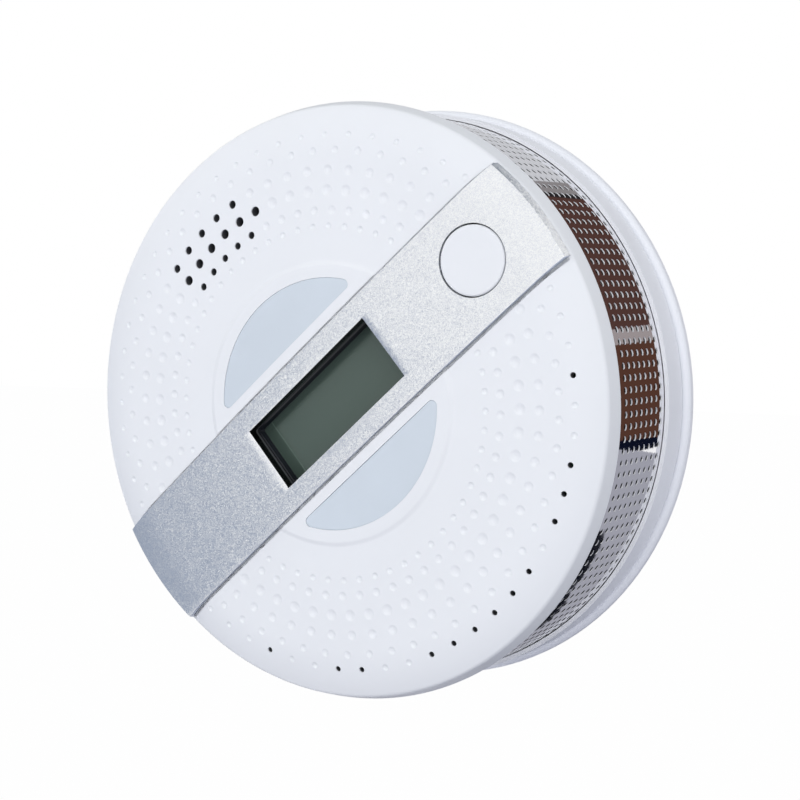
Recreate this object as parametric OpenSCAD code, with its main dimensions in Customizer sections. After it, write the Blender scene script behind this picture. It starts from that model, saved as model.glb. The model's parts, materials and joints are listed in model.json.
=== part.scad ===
// Round carbon monoxide and smoke alarm with a display, for a wall.
// The pieces are drawn in a working frame: X right, Y up and Z out of the wall.
// on_wall() then stands them up, so that the front faces -Y and +Z is up.
// The origin is the middle of the mounting plate's back face.

/* [Housing] */
// Diameter of the front cover, at the back edge of its lip
cover_d = 110.2; // [109:0.1:122]
// Height of the middle of the front face above the wall
face_h = 38.4; // [37.8:0.1:42]
// Radius of the front face's shallow dome
dome_r = 900; // [700:20:2000]
// Wall thickness of the moulded shells
shell_t = 2; // [1.8:0.1:2.4]
// Rounding of the cover's front edge
cover_edge_r = 3.5; // [2.5:0.1:3.8]
// Depth of the cover's side wall behind that rounding
lip_h = 2; // [1.6:0.1:2.6]
// Outward slope of the side wall over its depth
lip_draft = 0.5; // [0.2:0.1:0.7]
// How far the lip stands out over the steel mesh
lip_overhang = 1.1; // [0.9:0.1:1.6]
// Height of the rear case's outer wall
case_h = 6.7; // [6:0.1:8]
// How far the rear case's rim stands out past the mesh
case_ledge = 1; // [0.8:0.05:2]

/* [Mounting plate] */
// How far the plate stands out past the rear case
plate_border = 1.1; // [0.6:0.1:4]
// Thickness of the plate
plate_t = 2.5; // [2.2:0.1:3.2]
// Rounding of the plate's front edge
plate_edge_r = 1.2; // [0.6:0.1:1.6]
// Distance between the two wall screw slots
slot_spacing = 60; // [50:1:70]
// Width of a wall screw slot
slot_w = 4.6; // [4:0.1:5.4]
// Length of a wall screw slot from end to end
slot_l = 10; // [8:0.5:14]
// Width of the recess for the screw's head
head_w = 9; // [8:0.5:11]
// Depth of the recess for the screw's head
head_depth = 1.2; // [0.8:0.1:1.6]

/* [Bayonet] */
// Twist between locked and free, in degrees
twist_angle = 12; // [8:1:14]
// Width of a hook, in degrees
hook_angle = 10; // [8:1:11]
// Wall of a hook's post
hook_t = 2; // [1.6:0.1:2.4]
// How far a hook reaches in over the rear wall
hook_reach = 2; // [1.5:0.1:2.4]
// Running gap between the plate's hooks and the rear case
twist_gap = 0.3; // [0.2:0.05:0.5]

/* [Steel mesh] */
// Thickness of the perforated sheet
mesh_t = 0.4; // [0.3:0.05:0.6]
// Rows of holes round the strip
mesh_rows = 160; // [120:4:160]
// Turn of the rows round the ring, in degrees
mesh_turn = -0.75; // [-1:0.05:1]
// Holes across the strip
mesh_cols = 8; // [4:1:8]
// Distance between holes across the strip
mesh_pitch = 2.25; // [1.9:0.05:2.3]
// Diameter of a hole
mesh_hole_d = 1.28; // [0.8:0.02:1.4]
// Plain sheet between the rear case's rim and the first row's centres
mesh_margin = 1.7; // [1.4:0.1:2.6]
// Depth of the grooves that hold the strip's two edges
mesh_tuck = 1.4; // [1:0.1:1.6]
// Clearance round the strip in its grooves
mesh_clear = 0.2; // [0.08:0.02:0.24]

/* [Front face] */
// Diameter of the raised middle of the face
plateau_d = 51; // [50:0.5:58]
// Rise of the raised middle
plateau_rise = 0.3; // [0.1:0.05:0.5]
// Depth of a dimple
dimple_depth = 0.3; // [0.2:0.05:0.4]
// Diameter of a small vent
vent_d = 1.05; // [0.8:0.05:1.2]

/* [Silver bar] */
// Width of the bar
bar_w = 21.3; // [20.4:0.1:22]
// Tilt of the bar from level, in degrees
bar_angle = 40.9; // [38:0.1:44]
// Rise of the bar above the face
bar_rise = 0.8; // [0.2:0.1:1]
// Depth of the channel under the face
bar_depth = 1.2; // [0.9:0.1:1.3]
// Gap between the bar and its channel
bar_gap = 0.4; // [0.2:0.05:0.5]
// Slope of the bar's ends
bar_end = 0.45; // [0.3:0.05:0.6]
// Fall of the bar's top toward its ends
bar_fall = 0.9; // [0.5:0.1:1]

/* [Display] */
// Length of the window
window_l = 32.8; // [30:0.2:34]
// Width of the window
window_w = 13.4; // [12:0.2:14]
// Bevel round the window
window_bevel = 0.4; // [0.2:0.05:0.6]
// Depth of the glass below the face
display_depth = 4; // [3.6:0.1:4.6]
// Length of the glass
lcd_l = 37; // [36:0.5:38]
// Width of the glass
lcd_w = 18; // [17:0.5:18.5]
// Thickness of the glass
lcd_t = 2.8; // [2.2:0.1:3.2]
// Wall of the display's holder
holder_t = 1.3; // [1:0.1:1.5]

/* [Test button] */
// Diameter of the button
button_d = 12.5; // [11:0.1:14]
// Gap round the button
button_gap = 0.25; // [0.2:0.05:0.4]
// Distance of the button from the middle of the face
button_at = 39.65; // [37.5:0.05:41]
// Travel of the button
button_travel = 0.5; // [0.3:0.1:0.8]

/* [Light windows] */
// Radius of the windows' round edge
light_r = 23.1; // [22.4:0.1:23.6]
// Distance of the windows' straight edge from the bar's middle line
light_edge = 13.1; // [12.9:0.1:14]
// Radius of the windows' corners
light_corner = 1; // [0.6:0.1:1.5]
// Gap round a lens
light_gap = 0.1; // [0.05:0.05:0.2]
// Width of the lens's flange behind the cover
light_flange = 1; // [0.8:0.1:1.1]

/* [Board and battery] */
// Gap between the circuit board's edge and the mesh
board_gap = 3; // [2.6:0.1:3.5]
// Thickness of the circuit board
board_t = 1.6; // [1.2:0.1:2]
// Diameter of a battery cell
cell_d = 14.5; // [14:0.1:14.7]
// Length of a battery cell with its nub
cell_l = 50.5; // [49:0.1:51]
// Room for a contact at each end of a cell
contact_room = 2.2; // [2:0.1:2.4]
// Wall of the battery bay
bay_t = 1.5; // [1.2:0.1:1.7]

/* [Screws] */
// Shaft diameter of the case screws
case_screw_d = 2.9; // [2.5:0.1:3.2]
// Shaft diameter of the board screws
board_screw_d = 2.4; // [2:0.1:2.6]
// Clearance round a screw's shaft
screw_gap = 0.15; // [0.1:0.05:0.25]

/* [Sensors and sounder] */
// Diameter of the gas cell
co_d = 20; // [18:0.5:21]
// Smoke chamber's share of the room between the battery bay and the mesh
smoke_part = 0.77; // [0.7:0.01:0.78]
// Vanes round the smoke chamber
smoke_vanes = 18; // [12:1:20]
// Diameter of the sounder's housing
sounder_d = 22; // [20:0.5:23]

/* [Hidden] */
$fn = 64;
// Overlap of cuts past a face, and of pieces that are one moulding
cut = 1;
merge = 0.4;
// Gap between parts that sit on one another
seat = 0.1;

// Radii that follow from the cover's diameter, from the front to the wall
cover_r = cover_d / 2;
side_r = cover_r - lip_draft;
mesh_r = cover_r - lip_overhang;
case_r = mesh_r + case_ledge;
plate_r = case_r + plate_border;
groove_r = mesh_r + mesh_clear;
inner_r = mesh_r - mesh_t - mesh_clear;

// Height of the dome above the wall at a distance r from its middle
function face_z(r) = face_h - r * r / (2 * dome_r);
function arc(c, r, a, b, n) = [for (i = [0:n]) c + r * [cos(a + (b - a) * i / n), sin(a + (b - a) * i / n)]];

// Heights above the wall
case_z = plate_t + twist_gap;
case_floor = case_z + shell_t;
rim_z = case_z + case_h;
edge_z = face_z(side_r - cover_edge_r);
edge_c = [side_r - cover_edge_r, edge_z - cover_edge_r];
lip_z = edge_c.y - lip_h;
// Height of the cover above the wall, with its rounded edge
function cover_z(r) = r < edge_c.x ? face_z(r) : edge_c.y + sqrt(pow(cover_edge_r, 2) - pow(r - edge_c.x, 2));
mesh_z0 = rim_z - mesh_tuck;
mesh_z1 = lip_z + mesh_tuck;
glass_z = face_h - display_depth;

// Spread of the face's pattern, 1 at the size it is drawn for
spread = cover_r / 55.1;
// Rings of dimples, inner to outer: radius, turn and diameter, with a step between dimples
dimple_r = spread * [32.4, 35.3, 38.9, 42.6, 46.2, 49];
dimple_turn = [5.8, 4.8, 0.6, 0.4, 4.5, 1.6];
dimple_d = [1.25, 1.6, 2.1, 1.8, 1.45, 1.2];
dimple_step = 6;
dimple_count = 360 / dimple_step;
// Sounder holes take the place of dimples: first and last step in each ring
sounder_steps = [[1, 0], [19, 23], [19, 24], [20, 24], [1, 0], [1, 0]];
// Steps of the outermost ring that are vents
vent_steps = [1, 42, 45, 46, 49, 50, 51, 52, 53, 54, 56, 57, 58];
// The face between these two radii is drawn as one cone
pattern_r0 = 30.5 * spread;
pattern_r1 = 50.5 * spread;
pattern_slope = atan((face_z(pattern_r0) - face_z(pattern_r1)) / (pattern_r1 - pattern_r0));

// Bayonet hooks, bosses and posts
hook_turns = [36, 156, 276];
hook_r = inner_r - 4.4;
hook_top_t = 1.5;
hook_play = 1;
boss_turns = [90, 200, 331];
boss_r = inner_r - 6.9;
boss_d = 7;
boss_gap = 0.3;
post_d = 5;
post_r = inner_r - 6.2;
post_places = [for (turn = [7.4, 172.6, 222, 318]) post_r * [cos(turn), sin(turn)]];

// Battery bay, open to the back
cell_pitch = cell_d + 0.3;
cell_places = [-1, 0, 1];
bay_gap = 1.5;
bay_l = cell_l + 2 * contact_room;
bay_w = 3 * cell_pitch;
bay_corner = [bay_l / 2 + bay_t, bay_w / 2 + bay_t];
bay_y = bay_corner.y - sqrt(pow(inner_r - bay_gap, 2) - pow(bay_corner.x, 2));
bay_top = bay_y + bay_corner.y;
cell_lift = 0.9;
contact_t = 0.4;
leaf_r = 7;
cell_z = case_z + cell_lift + cell_d / 2;
bay_z = cell_z + cell_d / 2 + seat;
board_z = bay_z + bay_t + 0.5;
board_top = board_z + board_t;

// Places on the board
sensor_gap = 1.9;
smoke_d = smoke_part * (inner_r - bay_top);
smoke_at = [12, bay_top + sensor_gap + smoke_d / 2];
co_at = [-0.385 * inner_r, bay_top + sensor_gap + co_d / 2];
sounder_at = 39 * spread;
disc_z = board_top + 5;
chip_at = inner_r * [0.44, -0.5];
chip_w = 10;
chip_h = 1.6;
cap_places = inner_r * [[-0.52, -0.42], [-0.4, -0.56]];
cap_r = 3.15;
cap_h = 8;
led_along = 6;
led_across = 17;
smoke_h = 14.6;
co_h = 14.8;

// Button, switch and plunger
button_hole = button_d + 2 * button_gap;
button_top = face_z(button_at) + bar_rise;
flange_d = button_hole + 2;
flange_t = 1;
flange_z = face_z(button_at + flange_d / 2) - shell_t - 0.5 - flange_t;
stem_d = 4;
switch_w = 6;
switch_h = 3.6;
plunger_d = 3.2;
plunger_bore = plunger_d + 2 * button_gap;
plunger_z = board_top + switch_h - 0.8;
plunger_top = flange_z - 3.4;

module on_wall() rotate([90, 0, 0]) children();
module along_bar() rotate([0, 0, bar_angle]) children();
module at_button() along_bar() translate([button_at, 0, 0]) children();
module at_sounder() along_bar() translate([0, sounder_at, 0]) children();
module under_board(place) translate([place.x, place.y, board_z]) mirror([0, 0, 1]) children();

// A box between two heights, centred on X and Y
module slab(l, w, z0, z1) translate([-l / 2, -w / 2, z0]) cube([l, w, z1 - z0]);
module rod(d, z0, z1) translate([0, 0, z0]) cylinder(d = d, h = z1 - z0);
// Part of a ring between two radii, two heights and two turns
module ring_part(r0, r1, z0, z1, a0, a1)
  rotate([0, 0, a0])
    rotate_extrude(angle = a1 - a0, $fn = 180)
      translate([r0, z0])
        square([r1 - r0, z1 - z0]);
module turned(points) rotate_extrude($fn = 180) polygon(points);
// A slot with round ends along X
module slot(l, w, z0, z1) {
  slab(l - w, w, z0, z1);
  for (side = [-1, 1])
    translate([side * (l - w) / 2, 0, 0])
      rod(w, z0, z1);
}

// Round plate with a rounded front edge, screw slots and three bayonet hooks
module mounting_plate() color("white") on_wall() {
  back_edge = 0.4;
  edge_c = [plate_r - plate_edge_r, plate_t - plate_edge_r];
  difference() {
    turned(concat(
      [[0, 0], [plate_r - back_edge, 0], [plate_r, back_edge]],
      arc(edge_c, plate_edge_r, 0, 90, 6),
      [[0, plate_t]]));
    for (side = [-1, 1])
      translate([side * slot_spacing / 2, 0, 0]) {
        slot(slot_l, slot_w, -cut, plate_t + cut);
        slot(slot_l + head_w - slot_w, head_w, plate_t - head_depth, plate_t + cut);
      }
  }
  hook_z = case_floor + twist_gap;
  half = hook_angle / 2;
  for (turn = hook_turns)
    rotate([0, 0, turn]) {
      ring_part(hook_r - hook_t, hook_r, plate_t - merge, hook_z + merge, -half, half);
      ring_part(hook_r - hook_t - hook_reach, hook_r, hook_z, hook_z + hook_top_t, -half, half);
    }
}

// Dish with the mesh groove in its rim, the battery bay, bosses, posts and bayonet slots
module rear_case() color("white") on_wall() {
  back_edge = 0.4;
  reach = hook_angle / 2 + hook_play;
  slot_r = hook_r - hook_t - twist_gap;
  difference() {
    union() {
      turned([
        [0, case_z], [case_r - back_edge, case_z], [case_r, case_z + back_edge], [case_r, rim_z],
        [groove_r, rim_z], [groove_r, mesh_z0], [inner_r - merge, mesh_z0],
        [inner_r - merge, case_floor], [0, case_floor]]);
      translate([0, bay_y, 0])
        slab(2 * bay_corner.x, 2 * bay_corner.y, case_floor - merge, bay_z + bay_t);
      for (turn = boss_turns)
        rotate([0, 0, turn])
          translate([boss_r, 0, 0])
            rod(boss_d, case_floor - merge, board_z);
      for (place = post_places)
        translate(place)
          rod(post_d, case_floor - merge, board_z);
    }
    translate([0, bay_y, 0])
      slab(bay_l, bay_w, case_z - cut, bay_z);
    for (turn = boss_turns)
      rotate([0, 0, turn])
        translate([boss_r, 0, 0]) {
          rod(case_screw_d + 2 * screw_gap, case_z - cut, board_z + cut);
          rod(2 * case_screw_d + 2 * screw_gap, case_z - cut, case_z + 1.8);
        }
    for (place = post_places)
      translate(place)
        rod(board_screw_d + 2 * screw_gap, board_z - 8, board_z + cut);
    for (turn = hook_turns)
      rotate([0, 0, turn]) {
        ring_part(slot_r, hook_r + twist_gap, case_z - cut, case_floor + cut, -twist_angle - reach, reach);
        ring_part(slot_r - hook_reach, hook_r + twist_gap, case_z - cut, case_floor + cut,
          -twist_angle - reach, -twist_angle + reach);
      }
  }
}

// Rolled strip of perforated sheet, one flat per row of holes
function flats(r) = arc([0, 0], r, 180 / mesh_rows, 360 - 180 / mesh_rows, mesh_rows - 1);
module mesh_band() color("silver") on_wall() rotate([0, 0, mesh_turn]) difference() {
  translate([0, 0, mesh_z0 + seat])
    linear_extrude(mesh_z1 - mesh_z0 - 2 * seat)
      difference() {
        polygon(flats(mesh_r));
        polygon(flats(mesh_r - mesh_t));
      }
  for (i = [0:mesh_rows - 1], j = [0:mesh_cols - 1])
    rotate([0, 0, 360 * i / mesh_rows])
      translate([mesh_r - cut, 0, rim_z + mesh_margin + j * mesh_pitch])
        rotate([0, 90, 0])
          cylinder(d = mesh_hole_d, h = 2 * cut, $fn = 24);
}

// Points of the outside of the dome from radius a to radius b, raised by h
function dome_points(a, b, h) = [for (i = [0:6]) let (r = a + (b - a) * i / 6) [r, face_z(r) + h]];
// Outline of a light window with rounded corners, grown all round by g
function light_outline(g) = let (
    r = light_r + g,
    c = light_corner + g,
    y = light_edge + light_corner,
    x = sqrt(pow(r - c, 2) - y * y),
    a = atan2(y, x)
  ) concat(
    arc([x, y], c, -90, a, 6),
    [for (i = [1:23]) r * [cos(a + (180 - 2 * a) * i / 24), sin(a + (180 - 2 * a) * i / 24)]],
    arc([-x, y], c, 180 - a, 270, 6));
module light_shape(g, z0, z1)
  translate([0, 0, z0])
    linear_extrude(z1 - z0)
      polygon(light_outline(g));
// Is a dimple's centre clear of the silver bar's channel
function off_bar(r, turn) = abs(r * sin(turn - bar_angle)) > bar_w / 2 + bar_gap + 0.2;
function is_hole(k, i) = (i >= sounder_steps[k][0] && i <= sounder_steps[k][1])
  || (k == 5 && len(search(i, vent_steps)) > 0);
// Places a shape, with its own Z along the face's normal, on a dimple's centre
module on_pattern(k, i)
  rotate([0, 0, dimple_turn[k] + dimple_step * i])
    translate([dimple_r[k], 0, face_z(pattern_r0) - (dimple_r[k] - pattern_r0) * tan(pattern_slope)])
      rotate([0, pattern_slope, 0])
        children();

// Domed cover: raised middle, bar channel, dimples, sounder holes, vents and window openings
module front_cover() color("whitesmoke") on_wall() {
  plateau_r = plateau_d / 2;
  ramp = 0.4;
  channel_w = bar_w + 2 * bar_gap;
  difference() {
    union() {
      turned(concat(
        dome_points(0, plateau_r, plateau_rise),
        [for (r = [plateau_r + ramp, pattern_r0, pattern_r1]) [r, face_z(r)]],
        arc(edge_c, cover_edge_r, 90, 0, 9),
        [[cover_r, lip_z], [groove_r, lip_z], [groove_r, mesh_z1], [inner_r - 1, mesh_z1]],
        dome_points(inner_r - 1, 0, -shell_t)));
      for (turn = boss_turns)
        rotate([0, 0, turn])
          translate([boss_r, 0, 0])
            rod(boss_d, board_z + boss_gap, face_z(boss_r) - shell_t + merge);
    }
    intersection() {
      along_bar()
        slab(2 * cover_r + 2 * cut, channel_w, 0, face_h + cut);
      turned(concat(
        dome_points(0, cover_r + cut, -bar_depth),
        [[cover_r + cut, face_h + cut], [0, face_h + cut]]));
    }
    along_bar() {
      slab(window_l + 0.4, window_w + 0.4, glass_z, face_h + cut);
      for (side = [0, 180])
        rotate([0, 0, side])
          light_shape(0, glass_z, face_h + cut);
    }
    at_button()
      rod(button_hole, glass_z - cut, face_h + cut);
    for (turn = boss_turns)
      rotate([0, 0, turn])
        translate([boss_r, 0, 0])
          rod(case_screw_d + 2 * screw_gap, 0, board_z + 10);
    for (k = [0:5], i = [0:dimple_count - 1])
      if (off_bar(dimple_r[k], dimple_turn[k] + dimple_step * i))
        on_pattern(k, i)
          if (is_hole(k, i))
            rod(k == 5 ? vent_d : dimple_d[k], -2 * shell_t, cut);
          else let (ball = (pow(dimple_d[k] / 2, 2) + pow(dimple_depth, 2)) / (2 * dimple_depth))
            translate([0, 0, ball - dimple_depth])
              sphere(ball);
  }
}

// Trim bar that follows the dome, with sloped ends, the display's window and the button's hole
module silver_bar() color("lightgray") on_wall() {
  end_r = side_r - 0.4;
  top_r = end_r - bar_end;
  low_r = end_r - 0.8;
  fall_r = edge_c.x - 4;
  difference() {
    intersection() {
      along_bar()
        slab(2 * cover_r, bar_w, 0, face_h + cut);
      turned(concat(
        dome_points(0, fall_r, bar_rise),
        [for (i = [1:5]) let (p = i / 5, r = fall_r + (top_r - fall_r) * p)
          [r, face_z(r) + bar_rise - bar_fall * p * p]],
        [for (i = [0:4]) let (r = end_r + (low_r - end_r) * i / 4)
          [r, min(cover_z(r), face_z(r) - bar_depth) + seat]],
        dome_points(low_r - merge, 0, -bar_depth + seat)));
    }
    along_bar() {
      slab(window_l, window_w, glass_z, face_h + cut);
      window_cut();
    }
    at_button()
      rod(button_hole, glass_z - cut, face_h + cut);
  }
}

// Bevel round the display's window: a wedge along each axis, where they overlap
module window_cut() {
  top = face_h + bar_rise + merge;
  out = window_bevel + merge;
  low = face_h + bar_rise - window_bevel;
  module wedge(l, w)
    rotate([90, 0, 0])
      linear_extrude(w, center = true)
        polygon([[-l / 2, low], [l / 2, low], [l / 2 + out, top], [-l / 2 - out, top]]);
  intersection() {
    wedge(window_l, 2 * window_l);
    rotate([0, 0, 90])
      wedge(window_w, 2 * window_l);
  }
}

// Push button: cap that follows the bar's slope, a flange that keeps it in, and a stem
module test_button() color("white") on_wall() at_button() {
  top_edge = 0.3;
  top_r = button_d / 2 - top_edge;
  slope_h = 5;
  turned([
    [0, plunger_top + seat], [stem_d / 2, plunger_top + seat], [stem_d / 2, flange_z],
    [flange_d / 2, flange_z], [flange_d / 2, flange_z + flange_t], [0, flange_z + flange_t]]);
  intersection() {
    rod(button_d, flange_z + flange_t - merge, button_top + cut);
    translate([0, 0, button_top])
      rotate([0, asin(button_at / dome_r), 0])
        turned([[0, -slope_h], [top_r + slope_h, -slope_h], [top_r, 0], [0, 0]]);
  }
}

// Translucent lens that fills a light window, with a flange behind the cover
module light_lens() {
  under = face_z(light_r + light_flange) - shell_t - seat;
  intersection() {
    light_shape(-light_gap, under - merge, face_h + cut);
    turned(concat([[0, under - merge], [light_r + cut, under - merge]],
      dome_points(light_r + cut, 0, plateau_rise - seat)));
  }
  light_shape(light_flange, under - 1, under);
}
module light_window_upper() color("lightblue") on_wall() along_bar() light_lens();
module light_window_lower() color("lightblue") on_wall() along_bar() rotate([0, 0, 180]) light_lens();

// Black frame between the cover and the display's glass
module lcd_bezel() color("black") on_wall() along_bar() difference() {
  slab(lcd_l + 2 * holder_t, lcd_w + 2 * holder_t, glass_z, face_z(lcd_l / 2 + holder_t) - shell_t - seat);
  slab(window_l + 0.8, window_w + 0.8, glass_z - cut, face_h);
}

module lcd_glass() color("darkslategray") on_wall() along_bar()
  slab(lcd_l, lcd_w, glass_z - lcd_t, glass_z);

// Frame on the board that carries the glass on a ledge
module lcd_holder() color("dimgray") on_wall() along_bar() {
  ledge = 1;
  difference() {
    slab(lcd_l + 2 * holder_t, lcd_w + 2 * holder_t, board_top, glass_z - seat);
    slab(lcd_l + 2 * seat, lcd_w + 2 * seat, glass_z - lcd_t, glass_z + cut);
    slab(lcd_l - 2 * ledge, lcd_w - 2 * ledge, board_top - cut, glass_z);
  }
}

// Elastomer strips that join the glass to the board
module lcd_connectors() color("pink") on_wall() along_bar()
  for (side = [-1, 1])
    translate([0, side * (lcd_w / 2 - 2.2), 0])
      slab(lcd_l - 4, 2, board_top, glass_z - lcd_t);

// Round board with notches for the bosses and holes for its screws
module circuit_board() color("seagreen") on_wall() difference() {
  rod(2 * (inner_r - board_gap), board_z, board_top);
  for (turn = boss_turns)
    rotate([0, 0, turn])
      translate([boss_r, 0, 0])
        rod(boss_d + 4 * boss_gap, board_z - cut, board_top + cut);
  for (place = post_places)
    translate(place)
      rod(board_screw_d + 2 * screw_gap, board_z - cut, board_top + cut);
}

module processor_chip() color("black") on_wall() translate(chip_at)
  slab(chip_w, chip_w, board_top, board_top + chip_h);

// Two electrolytic cans with a crimp groove near the foot
module capacitors() color("darkgray") on_wall() {
  neck_r = cap_r - 0.35;
  for (place = cap_places)
    translate([place.x, place.y, board_top])
      turned([
        [0, 0], [cap_r, 0], [cap_r, 1], [neck_r, 1.3], [cap_r, 1.6],
        [cap_r, cap_h - 0.3], [neck_r, cap_h], [0, cap_h]]);
}

module status_leds() color("khaki") on_wall() along_bar()
  for (x = [-led_along, led_along], y = [-led_across, led_across])
    translate([x, y, 0]) {
      slab(3.5, 2.8, board_top, board_top + 1);
      rod(2.4, board_top + 1 - merge, board_top + 1.9);
    }

// Switch body with a bore for its plunger
module tact_switch() color("black") on_wall() at_button() difference() {
  slab(switch_w, switch_w, board_top, board_top + switch_h);
  rod(plunger_bore, plunger_z - button_travel - button_gap, board_top + switch_h + cut);
}
module switch_plunger() color("ivory") on_wall() at_button()
  rod(plunger_d, plunger_z, plunger_top);

// Cup with a sound port in its top and a ledge for the piezo disc
module sounder_housing() color("black") on_wall() at_sounder() {
  wall = 1.2;
  top = face_z(sounder_at + sounder_d / 2) - shell_t - 0.3;
  difference() {
    rod(sounder_d, board_top, top);
    rod(sounder_d - 2 * wall, disc_z, top - wall);
    rod(sounder_d - 4 * wall, board_top + wall, disc_z + cut);
    rod(8, disc_z, top + cut);
  }
}
module piezo_disc() color("gold") on_wall() at_sounder() {
  rod(sounder_d - 2.8, disc_z, disc_z + 0.3);
  rod(sounder_d - 9, disc_z + 0.3 - merge / 2, disc_z + 0.5);
}

// Sealed cell with a crimped rim and small inlet holes at the end away from the board
module co_cell() color("silver") on_wall() under_board(co_at) difference() {
  r = co_d / 2;
  turned([
    [0, 0], [r, 0], [r, co_h - 4], [r - 0.6, co_h - 3.4],
    [r - 0.6, co_h - 0.5], [r - 1.1, co_h], [0, co_h]]);
  for (i = [0:5])
    rotate([0, 0, 60 * i])
      translate([r / 2, 0, 0])
        rod(1.2, co_h - 2, co_h + cut);
}

// Floor of the smoke chamber, on the back of the board
module smoke_chamber_base() color("black") on_wall() under_board(smoke_at) {
  rod(smoke_d, 0, 2);
  difference() {
    rod(smoke_d - 12, 2 - merge, 4);
    rod(smoke_d - 14, 2, 4 + cut);
  }
}
// Cap with slanted vanes that let smoke in and keep light out
module smoke_chamber_cover() color("black") on_wall() under_board(smoke_at) {
  cap_t = 1.2;
  rod(smoke_d, smoke_h - cap_t, smoke_h);
  for (i = [0:smoke_vanes - 1])
    rotate([0, 0, 360 * i / smoke_vanes])
      translate([smoke_d / 2 - 3.4, 0, 2 + seat])
        rotate([0, 0, 40])
          slab(4.4, 0.8, 0, smoke_h - cap_t - 2 - seat + merge);
}
// Lamp with a round nose, lying on the chamber's floor and pointing at its middle
module smoke_lamp(turn) {
  d = 0.13 * smoke_d;
  under_board(smoke_at)
    rotate([0, 0, turn])
      translate([smoke_d / 2 - 7.8, 0, 2 + seat + d / 2])
        rotate([0, -90, 0]) {
          cylinder(d = d, h = 0.9 * d);
          translate([0, 0, 0.9 * d])
            sphere(d = d);
        }
}
module smoke_emitter() color("lightcyan") on_wall() smoke_lamp(20);
module smoke_receiver() color("darkslateblue") on_wall() smoke_lamp(160);

// Cell along X with its nub at one end
module battery(i) on_wall() {
  nub = 1;
  flip = i % 2 == 0 ? 0 : 180;
  translate([0, bay_y + cell_places[i] * cell_pitch, cell_z])
    rotate([0, 0, flip])
      rotate([0, 90, 0])
        translate([0, 0, -cell_l / 2])
          turned([
            [0, 0], [cell_d / 2 - 0.6, 0], [cell_d / 2, 0.6], [cell_d / 2, cell_l - nub - 0.6],
            [cell_d / 2 - 0.6, cell_l - nub], [2.7, cell_l - nub], [2.7, cell_l], [0, cell_l]]);
}
module battery_1() color("dimgray") battery(0);
module battery_2() color("dimgray") battery(1);
module battery_3() color("dimgray") battery(2);

// Places a contact, drawn with its back at X = 0, at the nub end (end = 1) or the flat end of cell i
module at_contact(i, end) {
  side = (i % 2 == 0 ? 1 : -1) * end;
  translate([0, bay_y + cell_places[i] * cell_pitch, cell_z])
    rotate([0, 0, side > 0 ? 180 : 0])
      translate([-bay_l / 2, 0, 0])
        children();
}
module contact_plates() color("silver") on_wall()
  for (i = [0:2])
    at_contact(i, 1) {
      translate([0, -4.5, -5])
        cube([contact_t, 9, 10]);
      translate([contact_t - merge / 2, 0, 0])
        rotate([0, 90, 0])
          cylinder(d = 4, h = contact_room - contact_t - seat + merge / 2);
    }
// Bowed leaf on a plate, pressing on a cell's flat end
module contact_springs() color("silver") on_wall()
  for (i = [0:2])
    at_contact(i, -1) {
      translate([0, -4.5, -5])
        cube([contact_t, 9, 10]);
      translate([0, 3, 0])
        rotate([90, 0, 0])
          linear_extrude(6)
            difference() {
              translate([-leaf_r + contact_room - seat, 0])
                circle(leaf_r);
              translate([-leaf_r + contact_room - seat, 0])
                circle(leaf_r - contact_t);
              translate([-4 * leaf_r, -2 * leaf_r])
                square([4 * leaf_r + contact_t / 2, 4 * leaf_r]);
            }
    }

// Pan-head screw pointing along +Z from its head
module screw(d, head_h, l) turned([
  [0, 0], [d - 0.3, 0], [d, 0.4], [d, head_h], [d / 2, head_h], [d / 2, l - d / 2], [d / 5, l], [0, l]]);
module case_screws() color("gray") on_wall()
  for (turn = boss_turns)
    rotate([0, 0, turn])
      translate([boss_r, 0, case_z + 0.1])
        screw(case_screw_d, 1.7, board_z + 8 - case_z);
module board_screws() color("gray") on_wall()
  for (place = post_places)
    translate([place.x, place.y, board_top + 1.4])
      mirror([0, 0, 1])
        screw(board_screw_d, 1.4, 8);

mounting_plate();
rear_case();
mesh_band();
front_cover();
silver_bar();
test_button();
light_window_upper();
light_window_lower();
lcd_bezel();
lcd_glass();
lcd_holder();
lcd_connectors();
circuit_board();
processor_chip();
capacitors();
status_leds();
tact_switch();
switch_plunger();
sounder_housing();
piezo_disc();
co_cell();
smoke_chamber_base();
smoke_chamber_cover();
smoke_emitter();
smoke_receiver();
battery_1();
battery_2();
battery_3();
contact_plates();
contact_springs();
case_screws();
board_screws();
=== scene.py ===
"""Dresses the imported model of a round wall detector: numpy surfaces, finishes and a studio."""
import json
import math
from types import SimpleNamespace

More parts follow.
